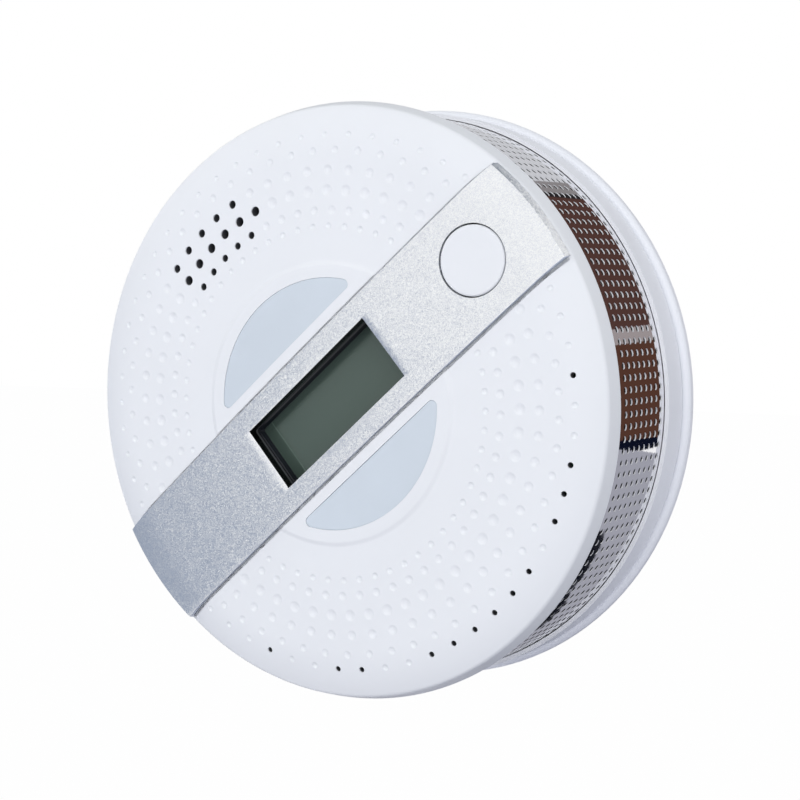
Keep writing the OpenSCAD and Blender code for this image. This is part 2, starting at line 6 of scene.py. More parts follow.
import bmesh
import bpy
import numpy as np
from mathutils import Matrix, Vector


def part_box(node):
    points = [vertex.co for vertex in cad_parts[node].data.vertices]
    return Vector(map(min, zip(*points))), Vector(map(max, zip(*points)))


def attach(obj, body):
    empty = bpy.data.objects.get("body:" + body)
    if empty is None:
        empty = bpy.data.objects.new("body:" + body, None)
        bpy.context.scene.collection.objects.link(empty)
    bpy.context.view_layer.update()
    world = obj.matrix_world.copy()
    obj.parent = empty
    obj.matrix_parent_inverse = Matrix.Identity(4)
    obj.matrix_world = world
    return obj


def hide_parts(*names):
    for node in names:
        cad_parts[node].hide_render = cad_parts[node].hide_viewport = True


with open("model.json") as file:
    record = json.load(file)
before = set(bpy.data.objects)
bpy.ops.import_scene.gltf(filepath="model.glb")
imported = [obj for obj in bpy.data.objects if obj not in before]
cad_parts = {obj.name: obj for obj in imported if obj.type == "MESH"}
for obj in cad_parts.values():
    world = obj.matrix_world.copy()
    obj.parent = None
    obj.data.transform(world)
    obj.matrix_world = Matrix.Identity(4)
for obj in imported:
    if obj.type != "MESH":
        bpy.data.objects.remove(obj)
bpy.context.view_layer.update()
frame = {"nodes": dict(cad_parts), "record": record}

bl_info = {
    "name": "Carbon Monoxide Detector",
    "version": (1, 0, 0),
    "blender": (4, 5, 0),
    "location": "View3D > Sidebar > Detector",
    "description": "Builds the dressed pieces of a round wall detector around its CAD frame",
    "category": "Add Mesh",
}

# Millimetres in a metre: the surfaces below are worked out in millimetres
MM = 1000.0
# Rings of dimples: radius in millimetres, turn in degrees, diameter in millimetres
DIMPLE_RINGS = ((32.4, 5.8, 1.25), (35.3, 4.8, 1.6), (38.9, 0.6, 2.1),
                (42.6, 0.4, 1.8), (46.2, 4.5, 1.45), (49.0, 1.6, 1.2))
# Degrees from one dimple to the next, and the cells that this gives each ring
DIMPLE_STEP = 6
CELLS = 360 // DIMPLE_STEP
# Points round a cell: one at each degree of its two long sides, and one on each short side
CELL_POINTS = 2 * (DIMPLE_STEP + 1) + 2
# Loops of points in a dimple's cell, as parts of the dimple's radius
BOWL_LOOPS = (1.14, 1.0, 0.82, 0.45)
# Steps of a ring that are sounder holes, and steps of the outermost ring that are vents
SOUNDER_STEPS = {1: range(19, 24), 2: range(19, 25), 3: range(20, 25)}
VENT_RING = len(DIMPLE_RINGS) - 1
VENT_STEPS = (1, 42, 45, 46, 49, 50, 51, 52, 53, 54, 56, 57, 58)
# The dimpled zone's radii, in millimetres
PATTERN = (30.5, 50.5)
# Heights between which openings are cut straight through the cover and the bar, in millimetres
CUT_LOW, CUT_HIGH = 30, 50
# Distance inside the cover's front edge at which the bar's top starts to fall, in millimetres
BAR_FALL_START = 7.3
# Cross sections of the bar's top, past its rounding, and of its underside: millimetres in from its ends
BAR_TOP_SECTIONS = (0.3, 0.7, 1.2, 1.8, 2.5, 3.3, 4.2, 5.3, 6.6)
BAR_UNDER_SECTIONS = (0, 0.1, 0.2, 0.3, 0.4, 0.5, 0.65, 0.8, 1.2, 2, 4, 6.6)
# Loops of a lens: part of the outline's size, and millimetres it lies below the lens's face
LENS_LOOPS = ((1, 0.16), (0.996, 0.06), (0.985, 0.01), (0.96, 0), (0.8, 0), (0.55, 0), (0.3, 0), (0.08, 0))
# Loops of the display's frame, in millimetres: growth over the window, corner radius, height
FRAME_LOOPS = ((3.2, 1.0, 34.4), (3.2, 1.0, 36.1), (0.45, 0.7, 36.1),
               (0.45, 0.7, 35.5), (0.2, 0.5, 35.4), (-0.1, 0.4, 34.42))
# Lamps: name, place and width in metres, power in watts
LAMPS = (
    ("top_light", (0.3, -1.95, 1.5), 1.2, 8.0),
    ("right_light", (1.3, -0.8, 0.3), 0.9, 5.4),
    ("fill_light", (0.35, -2.2, 0.1), 1.0, 5.6),
    ("front_light", (-0.5, -1.2, 0.1), 0.8, 1.0),
    ("left_light", (-1.0, -1.6, -0.16), 0.27, 8.4),
)
# Cards that show in gloss: name, colour, distance in metres, corners as turns right and up in degrees
CARDS = (
    ("brown_low", (0.092, 0.041, 0.028), 1.5, ((-6, -8.7), (40, -8.7), (40, 7.6), (-6, 7.6))),
    ("grey_strip", (0.35, 0.31, 0.31), 1.5, ((-6, 7.6), (40, 7.6), (40, 10.2), (-6, 10.2))),
    ("brown_high", (0.085, 0.042, 0.035), 1.5, ((-2, 10.2), (40, 10.2), (40, 36), (-2, 36))),
    ("dark_edge", (0.025, 0.022, 0.024), 1.5, ((-3.5, 10.2), (-2, 10.2), (-2, 36), (-3.5, 36))),
    ("grey_edge", (0.26, 0.245, 0.25), 1.5, ((-7, 10.2), (-3.5, 10.2), (-3.5, 36), (-7, 36))),
    ("grey_high", (0.62, 0.63, 0.66), 1.5, ((-60, 10.2), (-7, 10.2), (-7, 46), (-60, 46))),
    ("navy_wedge", (0.004, 0.006, 0.017), 1.5, ((18, -8.7), (27, -8.7), (27, -16), (22, -13))),
    ("grey_low", (0.37, 0.375, 0.43), 0.45, ((-40, -24), (30, -8.8), (40, -8.8), (40, -40), (-40, -40))),
    ("black_low", (0.006, 0.007, 0.012), 0.341,
     ((-20, -55), (12, -55), (12, -26.0), (4, -29.85), (-4, -31.9), (-12, -31.35), (-22, -29.4))),
    ("dark_above", (0.11, 0.14, 0.19), 1.5, ((-180, 70), (-90, 55), (0, 46), (90, 46))),
    ("dark_below", (0.006, 0.007, 0.012), 0.25, ((60, -60), (150, -60), (240, -60), (330, -60))),
    ("grey_left", (0.345, 0.39, 0.48), 0.55, ((-159, -25), (-120, -36), (-60, -36), (-60, 0), (-124, 17))),
    ("dark_right", (0.05, 0.075, 0.13), 1.5, ((112, 46), (185, 46), (215, 80), (95, 80))),
    ("bright_right", (2.2, 2.2, 2.2), 1.5, ((112, 22), (138, 22), (138, 43), (112, 43))),
)


def size(name, text, default):
    """A length property in metres."""
    return bpy.props.FloatProperty(name=name, description=text, default=default, min=0, precision=5,
                                   subtype="DISTANCE", unit="LENGTH")


def turned(name, text, degrees):
    """An angle property, its default given in degrees."""
    return bpy.props.FloatProperty(name=name, description=text, default=math.radians(degrees),
                                   subtype="ANGLE", unit="ROTATION")


def share(name, text, default):
    """A property between 0 and 1."""
    return bpy.props.FloatProperty(name=name, description=text, default=default, min=0, max=1,
                                   subtype="FACTOR")


def tint(name, text, default):
    """A colour property, linear."""
    return bpy.props.FloatVectorProperty(name=name, description=text, default=default, min=0, max=1, size=3,
                                         subtype="COLOR")


class DetectorFace(bpy.types.PropertyGroup):
    """Sizes of the front cover."""
    height: size("Face height", "Middle of the face above the wall", 0.0384)
    dome: size("Dome radius", "Radius of the face's shallow dome", 0.9)
    shell: size("Shell", "Wall thickness of the cover", 0.002)
    radius: size("Lip radius", "Outer radius at the lip's back edge", 0.05535)
    draft: size("Draft", "Outward slope of the side wall over its depth", 0.00092)
    shoulder: size("Shoulder", "Width of the ring that falls away to the front edge", 0.0088)
    fall: size("Fall", "Fall of the face at the front edge", 0.00193)
    edge: size("Edge rounding", "Half width of the front edge's rounding", 0.0005)
    lip: size("Lip depth", "Depth of the side wall behind the front edge", 0.00307)
    groove: size("Groove radius", "Outer radius of the groove that takes the mesh", 0.0542)
    tuck: size("Groove depth", "Depth of the groove that takes the mesh", 0.0014)
    plateau: size("Plateau radius", "Radius of the raised middle", 0.0255)
    plateau_rise: size("Plateau rise", "Rise of the raised middle", 0.0003)
    dimple_depth: size("Dimple depth", "Depth of a dimple", 0.00032)
    vent: size("Vent", "Diameter of a vent", 0.00105)
    hole: share("Hole", "Width of a sounder hole as a part of its ring's dimples", 0.88)


class DetectorBar(bpy.types.PropertyGroup):
    """Sizes of the silver bar, its window and its button."""
    angle: turned("Tilt", "Tilt of the bar from level", 40.9)
    width: size("Width", "Width of the bar", 0.0213)
    gap: size("Gap", "Gap between the bar and its channel", 0.00055)
    rise: size("Rise", "Rise of the bar over the face", 0.0008)
    depth: size("Channel depth", "Depth of the channel under the face", 0.0012)
    rounding: size("Rounding", "Rounding of the bar's edges", 0.0001)
    fall: size("Fall", "Fall of the bar's top toward its ends", 0.0009)
    top_radius: size("Top radius", "Radius at which the bar's top ends", 0.05375)
    end_radius: size("End radius", "Radius at which the bar's sloped end meets the cover", 0.0542)
    window_length: size("Window length", "Length of the display's window", 0.0328)
    window_width: size("Window width", "Width of the display's window", 0.0134)
    window_corner: size("Window corner", "Corner radius of the window", 0.0006)
    window_bevel: size("Window bevel", "Height of the bevel round the window", 0.00024)
    button_at: size("Button place", "Distance of the button from the middle", 0.03965)
    button: size("Button", "Diameter of the button", 0.0125)
    button_gap: size("Button gap", "Gap round the button", 0.00025)


class DetectorLenses(bpy.types.PropertyGroup):
    """Sizes of the two light windows."""
    radius: size("Radius", "Radius of the round edge", 0.0231)
    edge: size("Straight edge", "Distance of the straight edge from the bar's middle line", 0.0131)
    corner: size("Corner", "Radius of the corners", 0.001)
    gap: size("Gap", "Gap round a lens", 0.000005)


class DetectorMesh(bpy.types.PropertyGroup):
    """Sizes of the perforated steel band."""
    radius: size("Radius", "Outer radius of the band", 0.05408)
    sheet: size("Sheet", "Thickness of the sheet", 0.0004)
    rows: bpy.props.IntProperty(name="Rows", description="Rows of holes round the band", default=160, min=24)
    columns: bpy.props.IntProperty(name="Columns", description="Holes across the band", default=8, min=1)
    turn: turned("Turn", "Turn of the rows round the ring", -0.75)
    pitch: size("Pitch", "Distance between holes across the band", 0.00225)
    hole: size("Hole", "Diameter of a hole", 0.00118)
    first: size("First hole", "Height of the first holes above the wall", 0.0112)


class DetectorFinish(bpy.types.PropertyGroup):
    """Colours and gloss."""
    shell: tint("Shell", "White moulded plastic", (0.81, 0.826, 0.845))
    shell_rough: share("Shell roughness", "Roughness of the moulded plastic", 0.42)
    silver: tint("Silver", "Silver flake paint", (0.895, 0.92, 0.98))
    silver_rough: share("Silver roughness", "Roughness of the silver paint", 0.36)
    steel: tint("Steel", "Polished steel", (0.86, 0.855, 0.875))
    steel_rough: share("Steel roughness", "Roughness of the steel", 0.03)
    case: tint("Case", "White plastic of the case and the plate", (0.93, 0.945, 0.98))
    lens: tint("Lens", "Translucent lens", (0.62, 0.68, 0.735))
    display: tint("Display", "Display glass", (0.066, 0.097, 0.080))
    # Black is also the colour of the painted shade inside the case, in its holes and in the bar's channel
    black: tint("Black", "Black plastic", (0.010, 0.012, 0.018))


def props():
    """The scene's groups of sizes and colours, each under the last word of its name."""
    scene = bpy.context.scene
    return SimpleNamespace(**{name.split("_")[-1]: getattr(scene, name) for name in GROUPS})


# Geometry, in a working frame in millimetres: x right, y up, z out of the wall

def on_wall(points):
    """Stands the working frame up: its z becomes -Y and its y becomes Z, in metres."""
    return np.column_stack((points[:, 0], -points[:, 2], points[:, 1])) / MM


def along_bar(points, turn=0.0):
    """Turns points about the middle axis by the bar's tilt and a further turn."""
    a = props().bar.angle + turn
    x, y = points[:, 0], points[:, 1]
    return np.column_stack((x * np.cos(a) - y * np.sin(a), x * np.sin(a) + y * np.cos(a), points[:, 2]))


def face_z(r):
    """Dome: the middle's height less the radius squared over twice the dome's radius."""
    face = props().face
    return face.height * MM - np.square(r) / (2 * face.dome * MM)


def edge_radius():
    """Radius of the cover's front edge."""
    face = props().face
    return (face.radius - face.draft) * MM


def cover_z(r):
    """Cover: the dome, less on the shoulder a fall that grows with the square of the way to the edge."""
    face = props().face
    way = 1 - (edge_radius() - r) / (face.shoulder * MM)
    return face_z(r) - face.fall * MM * np.square(np.maximum(way, 0))


def lip_z():
    """Height of the lip's back edge."""
    return float(cover_z(edge_radius())) - props().face.lip * MM


def bar_z(r):
    """Top of the bar: the raised dome, less a fall that grows with the square of the way to its end."""
    bar = props().bar
    start = edge_radius() - BAR_FALL_START
    way = np.maximum(r - start, 0) / (bar.top_radius * MM - start)
    return face_z(r) + bar.rise * MM - bar.fall * MM * np.square(way)


def soft_step(x):
    """Smooth step from 0 to 1: three times the square less twice the cube."""
    x = np.clip(x, 0, 1)
    return x * x * (3 - 2 * x)


def unit(angle):
    """Points of the unit circle at some angles."""
    return np.column_stack((np.cos(angle), np.sin(angle)))


def quads(first, second):
    """Quads from each closed row of point numbers to the like row of a second array."""
    after = np.roll(first, -1, -1), np.roll(second, -1, -1)
    return np.stack((first, *after, second), -1).reshape(-1, 4)


class Surface:
    """Gathers arrays of points and of faces."""

    def __init__(self):
        self.points, self.faces, self.count = [], [], 0

    def add(self, points):
        """Adds points and returns their numbers."""
        self.points.append(points)
        first = self.count
        self.count += len(points)
        return np.arange(first, self.count)

    def ring(self, r, angle, z):
        """Adds points at a radius and angles round the middle axis, at a height."""
        return self.add(flat_loop(r * unit(angle), float(z)))

    def band(self, inner, outer, turn=0):
        """Quads out from closed rows of points to like rows, which are turned by some places first."""
        self.faces += np.roll(quads(np.roll(outer, -turn, -1), inner), 1, 1).tolist()

    def piece(self, name, sharp=50):
        """Makes the object, smooth but for edges sharper than an angle in degrees."""
        return make_object(name, np.concatenate(self.points), self.faces, sharp)


def placed(name, data):
    """Object of a mesh, a lamp or a camera, in the scene."""
    obj = bpy.data.objects.new(name, data)
    bpy.context.scene.collection.objects.link(obj)
    return obj


def make_object(name, points, faces, sharp=50):
    """Puts working-frame points and faces into a mesh object at the origin."""
    mesh = bpy.data.meshes.new(name)
    mesh.from_pydata(on_wall(points).tolist(), [], faces)
    obj = placed(name, mesh)
    soften(mesh, sharp)
    return obj


def soften(mesh, sharp):
    """Smooth shading with edges kept sharp past an angle in degrees."""
    mesh.shade_smooth()
    mesh.set_sharp_from_angle(angle=math.radians(sharp))


def loft(name, loops, sharp=50):
    """Side wall through like loops, anticlockwise and rising, with a flat cap at each end."""
    n = len(loops[0])
    grid = np.arange(n * len(loops)).reshape(len(loops), n)
    sides = quads(grid[:-1], grid[1:]).tolist()
    caps = [grid[0][::-1].tolist(), grid[-1].tolist()]
    return make_object(name, np.concatenate(loops), sides + caps, sharp)


def flat_loop(outline, z):
    """Lifts a flat outline to a height, or to a height for each point."""
    return np.column_stack((outline, np.broadcast_to(z, len(outline))))


def circle(r, n=96):
    """Points of a circle, anticlockwise."""
    return r * unit(np.arange(n) * 2 * np.pi / n)


def arc(centre, radius, start, end, steps):
    """Points of a circle's arc, both its ends included."""
    return np.array(centre) + radius * unit(np.linspace(start, end, steps + 1))


def rounded_rectangle(length, width, corner):
    """Rectangle whose corners are quarter circles, anticlockwise."""
    x, y, quarter = length / 2 - corner, width / 2 - corner, np.pi / 2
    centres = ((x, y), (-x, y), (-x, -y), (x, -y))
    return np.concatenate([arc(c, corner, i * quarter, (i + 1) * quarter, 6) for i, c in enumerate(centres)])


def lens_outline(grow):
    """Circle segment with round corners: a corner arc, the round edge and a corner arc, grown all round."""
    lens = props().lenses
    r, corner = lens.radius * MM + grow, lens.corner * MM + grow
    y = (lens.edge + lens.corner) * MM
    x = math.sqrt((r - corner) ** 2 - y * y)
    a = math.atan2(y, x)
    right, left = arc((x, y), corner, -np.pi / 2, a, 6), arc((-x, y), corner, np.pi - a, 1.5 * np.pi, 6)
    return np.concatenate((right, arc((0, 0), r, a, np.pi - a, 40)[1:-1], left))


def cut_away(obj, cutters, sharp=50):
    """Takes the cutters' solids out of an object, all split into flat triangles, and removes the cutters."""
    for mesh in (obj.data, *(cutter.data for cutter in cutters)):
        shape = bmesh.new()
        shape.from_mesh(mesh)
        bmesh.ops.triangulate(shape, faces=shape.faces)
        shape.to_mesh(mesh)
        shape.free()
    for cutter in cutters:
        step = obj.modifiers.new("cut", "BOOLEAN")
        step.operation, step.object, step.solver = "DIFFERENCE", cutter, "MANIFOLD"
    graph = bpy.context.evaluated_depsgraph_get()
    whole = bpy.data.meshes.new_from_object(obj.evaluated_get(graph))
    if len(whole.polygons) < len(obj.data.polygons) // 2:
        raise RuntimeError(f"cutting {obj.name} lost most of it")
    obj.modifiers.clear()
    old, obj.data = obj.data, whole
    whole.name = obj.name
    bpy.data.meshes.remove(old)
    for cutter in cutters:
        bpy.data.objects.remove(cutter)
    soften(obj.data, sharp)


def ride(obj, body, slot, material, *nodes):
    """Hands a finished piece to its body, in place of its CAD nodes, with its finish."""
    obj.data.materials.clear()
    obj.data.materials.append(material)
    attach(obj, body)
    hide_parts(*nodes)


def dress(node, material):
    """Gives a CAD node that stays in view its finish."""
    slots = frame["nodes"][node].material_slots
    for slot in slots:
        slot.material = material
    if not slots:
        raise RuntimeError(f"{node} has no material slot")


# Front cover

def cell_points(ring):
    """Centre of each dimple's cell in a ring, in the plane, with the unit vectors round and out."""
    r, turn, _ = DIMPLE_RINGS[ring]
    a = np.radians(turn + DIMPLE_STEP * np.arange(CELLS))
    out = unit(a)
    return r * out, np.column_stack((-out[:, 1], out[:, 0])), out


def hole_mask(ring):
    """Which steps of a ring are holes."""
    steps = VENT_STEPS if ring == VENT_RING else SOUNDER_STEPS.get(ring, ())
    mask = np.zeros(CELLS, bool)
    mask[list(steps)] = True
    return mask


def dimple_mask(ring):
    """Which steps of a ring are dimples: those that aren't holes, with their middles clear of the channel."""
    bar = props().bar
    clear = 0.2
    centre = cell_points(ring)[0]
    across = centre[:, 1] * np.cos(bar.angle) - centre[:, 0] * np.sin(bar.angle)
    return (np.abs(across) > (bar.width / 2 + bar.gap) * MM + clear) & ~hole_mask(ring)


def dimpled_strip(surface, ring, inner, outer, offset):
    """One ring of cells between two rows of points. A plain cell is a fan round its middle. In a dimple's
    cell, loops lead from the edge into a bowl, whose depth falls with the square of the way out."""
    face = props().face
    r, _, diameter = DIMPLE_RINGS[ring]
    side = np.radians(offset + DIMPLE_STEP * np.arange(CELLS))
    mid = surface.ring(r, side, cover_z(r))
    i = DIMPLE_STEP * np.arange(CELLS)[:, None]
    k = np.arange(DIMPLE_STEP + 1)
    edge = np.hstack((inner[(i + k) % 360], np.roll(mid, -1)[:, None],
                      outer[(i + DIMPLE_STEP - k) % 360], mid[:, None]))
    bowl = dimple_mask(ring)
    plain, middle = edge[~bowl], cell_points(ring)[0][~bowl]
    tip = surface.add(np.column_stack((middle, np.full(len(middle), cover_z(r)))))
    fan = np.stack((np.broadcast_to(tip[:, None], plain.shape), np.roll(plain, -1, 1), plain), -1)
    surface.faces += fan.reshape(-1, 3).tolist()
    centre, along, out = (v[bowl][:, None, :] for v in cell_points(ring))
    turn = ((np.arange(CELL_POINTS) - DIMPLE_STEP - 1) * 2 * np.pi / CELL_POINTS)[None, :, None]
    loop = edge[bowl]
    for part in BOWL_LOOPS:
        flat = centre + part * diameter / 2 * (np.cos(turn) * along + np.sin(turn) * out)
        sink = face.dimple_depth * MM * max(0, 1 - part * part)
        z = cover_z(np.linalg.norm(flat, axis=-1)) - sink
        points = np.concatenate((flat, z[..., None]), -1).reshape(-1, 3)
        deeper = surface.add(points).reshape(loop.shape)
        surface.band(loop, deeper)
        loop = deeper
    surface.faces += loop[:, ::-1].tolist()


def lip_outline():
    """Profile from the dimpled zone to the inside, as radius and height: the shoulder, the edge rounded as a
    quadratic curve, the side wall, the lip with its groove for the mesh, and the dome less the shell."""
    face = props().face
    chamfer_in, chamfer_up, lip_width, groove_width = 0.06, 0.12, 0.2, 1.64
    rim, lip = face.radius * MM, lip_z()
    groove, roof = face.groove * MM, lip + face.tuck * MM
    inside = groove - groove_width
    near = edge_radius() - face.edge * MM
    outline = [(r, cover_z(r)) for r in np.linspace(PATTERN[1] + 0.3, near - 0.1, 10)]
    corner = np.array((edge_radius(), cover_z(edge_radius())))
    wall = np.array((rim, lip)) - corner
    first = np.array((near, cover_z(near)))
    final = corner + wall * face.edge * MM / np.linalg.norm(wall)
    for u in np.linspace(0, 1, 8):
        outline.append(tuple((1 - u) ** 2 * first + 2 * u * (1 - u) * corner + u * u * final))
    outline += [tuple(corner + wall * part) for part in (0.3, 0.6, 0.9)]
    outline += [(rim - chamfer_in, lip + chamfer_up), (rim - lip_width, lip)]
    outline += [(groove, lip), (groove, roof), (inside, roof)]
    return outline + [(r, face_z(r) - face.shell * MM) for r in (inside, 45, 36, 27, 18, 9, 1)]


def cover_solid():
    """Cover turned round the middle axis, with a point at each degree: the dome with a soft step to the
    raised middle, the dimpled zone, and then the profile over the lip to the inside."""
    face = props().face
    middle, step_end, seam = face.plateau * MM, 0.75, 0.04
    angles = np.radians(np.arange(360))
    surface = Surface()

    def top(r):
        return face_z(r) + face.plateau_rise * MM * soft_step(middle + step_end - r)

    pole = surface.add(np.array([[0, 0, top(0)]]))
    radii = [1, 4, 8, 12, 16, 20, 23, 24.2, *np.linspace(middle - 0.5, middle + 1, 9), 28, PATTERN[0]]
    last = surface.ring(radii[0], angles, top(radii[0]))
    surface.faces += np.column_stack((np.full(360, pole[0]), last, np.roll(last, -1))).tolist()
    for r in radii[1:]:
        following = surface.ring(r, angles, top(r))
        surface.band(last, following)
        last = following
    offset = 0.0
    middles = np.array(DIMPLE_RINGS)[:, 0]
    borders = [PATTERN[0], *(middles[1:] + middles[:-1]) / 2, PATTERN[1]]
    for ring, (_, turn, _) in enumerate(DIMPLE_RINGS):
        start = turn - DIMPLE_STEP / 2
        inner, outer = (surface.ring(r, angles + np.radians(start), cover_z(r))
                        for r in (borders[ring] + seam, borders[ring + 1] - seam))
        surface.band(last, inner, round(offset - start))
        dimpled_strip(surface, ring, inner, outer, start)
        last, offset = outer, start
    for r, z in lip_outline():
        following = surface.ring(r, angles, z)
        surface.band(last, following, round(offset))
        last, offset = following, 0.0
    pole = surface.add(np.array([[0, 0, face_z(0) - face.shell * MM]]))
    surface.faces += np.column_stack((np.full(360, pole[0]), np.roll(last, -1), last)).tolist()
    return surface.piece("cover_shell")


def channel_cutters():
    """Straight strips along the bar under a flat lid: the channel, whose floor is the dome lowered by its
    depth, and a gap on each side of the bar, which follows the cover down the shoulder a little deeper."""
    bar = props().bar
    half, gap = bar.width * MM / 2, bar.gap * MM
    lid_z, channel_reach, gap_reach, inset, deeper = 60, 60, 52.7, 0.01, 0.03
    sections, points = 49, 9
    strips = [(0, half + gap, channel_reach, face_z, 0)]
    for side in (1, -1):
        strips.append((side * (half + gap / 2), gap / 2 - inset, gap_reach, cover_z, deeper))
    cutters = []
    for middle, out, reach, height, lower in strips:
        y = middle + np.linspace(out, -out, points)
        loops = []
        for x in np.linspace(-reach, reach, sections):
            flat = np.column_stack((np.full(points, x), y))
            floor = flat_loop(flat, height(np.hypot(x, y)) - bar.depth * MM - lower)
            loops.append(along_bar(np.concatenate((floor, flat_loop(flat[::-1], lid_z)))))
        cutters.append(loft("channel", loops))
    return cutters


def prism(name, outline, turn=0.0):
    """Straight prism on an outline in the bar's frame, through cover and bar."""
    return loft(name, [along_bar(flat_loop(outline, z), turn) for z in (CUT_LOW, CUT_HIGH)])


def button_hole():
    """Round prism for the button's hole."""
    bar = props().bar
    return prism("button_hole", circle(bar.button * MM / 2 + bar.button_gap * MM) + (bar.button_at * MM, 0))


def hole_cutters():
    """One straight prism for each sounder hole and vent, leaning with the face, all in one mesh."""
    face = props().face
    below, above, points = -3.5, 1.5, 20
    outline = circle(1, points)
    surface = Surface()
    for ring, (_, _, diameter) in enumerate(DIMPLE_RINGS):
        width = face.vent * MM if ring == VENT_RING else diameter * face.hole
        for centre in cell_points(ring)[0][hole_mask(ring)]:
            z = float(cover_z(np.linalg.norm(centre)))
            lean = centre / (face.dome * MM)
            a, b = (surface.add(flat_loop(centre + h * lean + width / 2 * outline, z + h))
                    for h in (below, above))
            surface.faces += quads(a, b).tolist()
            surface.faces += [a[::-1].tolist(), b.tolist()]
    return surface.piece("holes")


# Silver bar, button, lenses and display

def bar_solid():
    """Strip carried along the bar's middle line: loops across it, whose top is the bar's height with rounded
    edges, and whose underside lies just over the channel's floor, or over the cover where that is lower. Its
    ends lie on circles: the reach along the line is the root of the radius squared less the distance across
    squared."""
    bar = props().bar
    half, rounding, clear = bar.width * MM / 2, bar.rounding * MM, 0.1
    turns = np.radians(np.linspace(0, 90, 5))
    rim = np.column_stack((half - rounding + rounding * np.cos(turns), rounding * np.sin(turns) - rounding))
    flat = np.linspace(half - rounding, rounding - half, 13)[1:-1]
    y, drop = np.concatenate((rim, np.column_stack((flat, 0 * flat)), rim[::-1] * (-1, 1))).T

    def along(radius, back):
        reach = np.sqrt((radius * MM) ** 2 - y * y) - np.array(back)[:, None]
        x = np.vstack((-reach, np.linspace(-1, 1, 43)[1:-1, None] * reach[-1], reach[::-1]))
        return x, np.broadcast_to(y, x.shape), np.hypot(x, y)

    x, across, r = along(bar.top_radius, (0, 0.5 * rounding, rounding, *BAR_TOP_SECTIONS))
    z = bar_z(r) + drop
    # The ends' edges are rounded too: the first two sections drop as a quarter circle does
    end_drop = np.array((rounding, 0.13 * rounding))
    z[:2] -= end_drop[:, None]
    z[-2:] -= end_drop[::-1, None]
    top = np.stack((x, across, z), -1)
    x, across, r = along(bar.end_radius, BAR_UNDER_SECTIONS)
    z = np.minimum(cover_z(r), face_z(r) - bar.depth * MM) + clear
    bottom = np.stack((x, across, z), -1)
    loops = [along_bar(np.concatenate((a, b[::-1]))) for a, b in zip(top, bottom)]
    n = len(y)
    grid = np.arange(len(loops) * 2 * n).reshape(-1, 2 * n)
    faces = quads(grid[:-1], grid[1:]).tolist()
    for end, flip in ((grid[0], -1), (grid[-1], 1)):
        upper, lower = end[:n], end[:n - 1:-1]
        faces += np.column_stack((upper[:-1], upper[1:], lower[1:], lower[:-1]))[:, ::flip].tolist()
    return make_object("bar_trim", np.concatenate(loops), faces, 15)


def window_loop(grow, corner, z):
    """The display window's outline in the bar's frame, grown all round, with its own corners, at a height."""
    bar = props().bar
    length, width = bar.window_length * MM + 2 * grow, bar.window_width * MM + 2 * grow
    return along_bar(flat_loop(rounded_rectangle(length, width, corner), z))


def window_cutter():
    """Loft through rounded rectangles: straight up to the bevel, then root three outward for each step up."""
    bar = props().bar
    low, rise = float(face_z(0)) + (bar.rise - bar.window_bevel) * MM, 1.5
    steps = ((CUT_LOW, 0), (low, 0), (low + rise, rise * math.sqrt(3)))
    return loft("window", [window_loop(grow, bar.window_corner * MM + grow, z) for z, grow in steps])


def button_solid():
    """Stem, collar and cap turned round the button's axis. The cap has a rounded rim and a faint dish, and
    leans with the face."""
    face, bar = props().face, props().bar
    r, at, edge = bar.button * MM / 2, bar.button_at * MM, 0.35
    stem, collar = 2.0, 7.4
    stem_z, collar_z, cap_z, lean_from = -7.3, -4.4, -3.5, -3
    turns = np.radians(np.linspace(0, 90, 6))
    rim = zip(r - edge + edge * np.cos(turns), edge * np.sin(turns) - edge)
    profile = [(stem, stem_z), (stem, collar_z), (collar, collar_z), (collar, cap_z), (r, cap_z), *rim]
    profile += [(r - 2 * edge, 0.0), (r * 0.5, -0.03), (0.4, -0.04)]
    lean = at / (face.dome * MM)
    loops = []
    for radius, z in profile:
        x, y = circle(radius).T
        height = face_z(at) + bar.rise * MM + z - lean * x * (z > lean_from)
        loops.append(along_bar(np.column_stack((at + x + lean * z, y, height))))
    return loft("button_cap", loops, 40)


def lens_solid(name, turn):
    """Lens: its outline drawn in towards its middle in steps, each lifted to the dome, on a straight wall."""
    face, lens = props().face, props().lenses
    foot, below = 34.6, 0.08
    edge = lens_outline(-lens.gap * MM)
    centre = edge.mean(0)
    loops = [flat_loop(edge, foot)]
    for part, sink in LENS_LOOPS:
        flat = centre + part * (edge - centre)
        z = face_z(np.linalg.norm(flat, axis=1)) + face.plateau_rise * MM - below - sink
        loops.append(flat_loop(flat, z))
    return loft(name, [along_bar(loop, turn) for loop in loops], 60)


def bezel_solid():
    """Black frame: a closed section carried round the window, stepping in towards the glass."""
    surface = Surface()
    rows = [surface.add(window_loop(*loop)) for loop in FRAME_LOOPS]
    for a, b in zip(rows, rows[1:] + rows[:1]):
        surface.faces += quads(a, b).tolist()
    return surface.piece("display_frame", 30)


# Steel band

